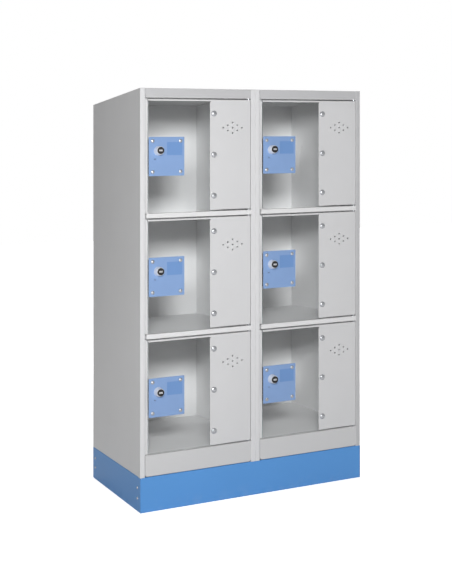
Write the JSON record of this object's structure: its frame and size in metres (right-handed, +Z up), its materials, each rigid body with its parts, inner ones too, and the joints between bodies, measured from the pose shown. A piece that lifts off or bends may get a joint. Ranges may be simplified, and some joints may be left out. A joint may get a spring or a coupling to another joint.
{
  "type": "cell phone locker box",
  "caption": "Steel locker with stacked compartments on a plinth; each inset door is part folded steel leaf, part clear pane, with a key lock behind a plate.",
  "frame": {"origin": "on the floor, at the middle of the plinth's four anchor holes, which is the middle of the body's footprint", "axes": "+X to the right seen from the front, +Y to the back, +Z up; the doors face -Y"},
  "size_m": [0.804, 0.5224, 1.33],
  "materials": {
    "body_grey": "light grey powder coat",
    "door_grey": "light grey powder coat",
    "plinth_blue": "mid blue powder coat",
    "plate_blue": "light blue paint",
    "clear_pane": "clear sheet",
    "zinc": "zinc plated",
    "lock_black": "black"
  },
  "bodies": {
    "locker_body": {"side_panel_left": "body_grey", "side_panel_right": "body_grey", "partition_left": "body_grey", "partition_right": "body_grey", "back_panels": "body_grey", "roof_left": "body_grey", "roof_right": "body_grey", "base_left": "body_grey", "base_right": "body_grey", "shelf_left_upper": "body_grey", "shelf_left_lower": "body_grey", "shelf_right_upper": "body_grey", "shelf_right_lower": "body_grey", "plinth_front": "plinth_blue", "plinth_back": "plinth_blue", "plinth_sides": "plinth_blue", "hinge_pins": "zinc", "body_fasteners": "zinc"},
    "door_1": {"door_leaf_1": "door_grey", "door_pane_1": "clear_pane", "door_fixings_1": "zinc", "lock_plate_1": "plate_blue", "lock_case_1": "zinc"},
    "plug_1": {"lock_plug_1": "lock_black"},
    "bolt_1": {"lock_bolt_1": "zinc"},
    "door_2": {"door_leaf_2": "door_grey", "door_pane_2": "clear_pane", "door_fixings_2": "zinc", "lock_plate_2": "plate_blue", "lock_case_2": "zinc"},
    "plug_2": {"lock_plug_2": "lock_black"},
    "bolt_2": {"lock_bolt_2": "zinc"},
    "door_3": {"door_leaf_3": "door_grey", "door_pane_3": "clear_pane", "door_fixings_3": "zinc", "lock_plate_3": "plate_blue", "lock_case_3": "zinc"},
    "plug_3": {"lock_plug_3": "lock_black"},
    "bolt_3": {"lock_bolt_3": "zinc"},
    "door_4": {"door_leaf_4": "door_grey", "door_pane_4": "clear_pane", "door_fixings_4": "zinc", "lock_plate_4": "plate_blue", "lock_case_4": "zinc"},
    "plug_4": {"lock_plug_4": "lock_black"},
    "bolt_4": {"lock_bolt_4": "zinc"},
    "door_5": {"door_leaf_5": "door_grey", "door_pane_5": "clear_pane", "door_fixings_5": "zinc", "lock_plate_5": "plate_blue", "lock_case_5": "zinc"},
    "plug_5": {"lock_plug_5": "lock_black"},
    "bolt_5": {"lock_bolt_5": "zinc"},
    "door_6": {"door_leaf_6": "door_grey", "door_pane_6": "clear_pane", "door_fixings_6": "zinc", "lock_plate_6": "plate_blue", "lock_case_6": "zinc"},
    "plug_6": {"lock_plug_6": "lock_black"},
    "bolt_6": {"lock_bolt_6": "zinc"}
  },
  "joints": [
    {"name": "door_hinge_1", "type": "hinge", "parent": "locker_body", "child": "door_1", "pos_m": [-0.024, -0.245, 1.118], "axis": [0, 0, 1], "range_deg": [0, 105]},
    {"name": "lock_turn_1", "type": "hinge", "parent": "door_1", "child": "plug_1", "pos_m": [-0.3395, -0.25, 1.132], "axis": [0, 1, 0], "range_deg": [0, 90]},
    {"name": "bolt_slide_1", "type": "slide", "parent": "door_1", "child": "bolt_1", "axis": [-1, 0, 0], "range_m": [0, 0.012]},
    {"name": "door_hinge_2", "type": "hinge", "parent": "locker_body", "child": "door_2", "pos_m": [-0.024, -0.245, 0.739], "axis": [0, 0, 1], "range_deg": [0, 105]},
    {"name": "lock_turn_2", "type": "hinge", "parent": "door_2", "child": "plug_2", "pos_m": [-0.3395, -0.25, 0.753], "axis": [0, 1, 0], "range_deg": [0, 90]},
    {"name": "bolt_slide_2", "type": "slide", "parent": "door_2", "child": "bolt_2", "axis": [-1, 0, 0], "range_m": [0, 0.012]},
    {"name": "door_hinge_3", "type": "hinge", "parent": "locker_body", "child": "door_3", "pos_m": [-0.024, -0.245, 0.36], "axis": [0, 0, 1], "range_deg": [0, 105]},
    {"name": "lock_turn_3", "type": "hinge", "parent": "door_3", "child": "plug_3", "pos_m": [-0.3395, -0.25, 0.374], "axis": [0, 1, 0], "range_deg": [0, 90]},
    {"name": "bolt_slide_3", "type": "slide", "parent": "door_3", "child": "bolt_3", "axis": [-1, 0, 0], "range_m": [0, 0.012]},
    {"name": "door_hinge_4", "type": "hinge", "parent": "locker_body", "child": "door_4", "pos_m": [0.376, -0.245, 1.118], "axis": [0, 0, 1], "range_deg": [0, 105]},
    {"name": "lock_turn_4", "type": "hinge", "parent": "door_4", "child": "plug_4", "pos_m": [0.0605, -0.25, 1.132], "axis": [0, 1, 0], "range_deg": [0, 90]},
    {"name": "bolt_slide_4", "type": "slide", "parent": "door_4", "child": "bolt_4", "axis": [-1, 0, 0], "range_m": [0, 0.012]},
    {"name": "door_hinge_5", "type": "hinge", "parent": "locker_body", "child": "door_5", "pos_m": [0.376, -0.245, 0.739], "axis": [0, 0, 1], "range_deg": [0, 105]},
    {"name": "lock_turn_5", "type": "hinge", "parent": "door_5", "child": "plug_5", "pos_m": [0.0605, -0.25, 0.753], "axis": [0, 1, 0], "range_deg": [0, 90]},
    {"name": "bolt_slide_5", "type": "slide", "parent": "door_5", "child": "bolt_5", "axis": [-1, 0, 0], "range_m": [0, 0.012]},
    {"name": "door_hinge_6", "type": "hinge", "parent": "locker_body", "child": "door_6", "pos_m": [0.376, -0.245, 0.36], "axis": [0, 0, 1], "range_deg": [0, 105]},
    {"name": "lock_turn_6", "type": "hinge", "parent": "door_6", "child": "plug_6", "pos_m": [0.0605, -0.25, 0.374], "axis": [0, 1, 0], "range_deg": [0, 90]},
    {"name": "bolt_slide_6", "type": "slide", "parent": "door_6", "child": "bolt_6", "axis": [-1, 0, 0], "range_m": [0, 0.012]}
  ],
  "couplings": [
    {"joint": "lock_turn_1", "follows": "bolt_slide_1", "rad_per_m": 130.89},
    {"joint": "lock_turn_2", "follows": "bolt_slide_2", "rad_per_m": 130.89},
    {"joint": "lock_turn_3", "follows": "bolt_slide_3", "rad_per_m": 130.89},
    {"joint": "lock_turn_4", "follows": "bolt_slide_4", "rad_per_m": 130.89},
    {"joint": "lock_turn_5", "follows": "bolt_slide_5", "rad_per_m": 130.89},
    {"joint": "lock_turn_6", "follows": "bolt_slide_6", "rad_per_m": 130.89}
  ]
}
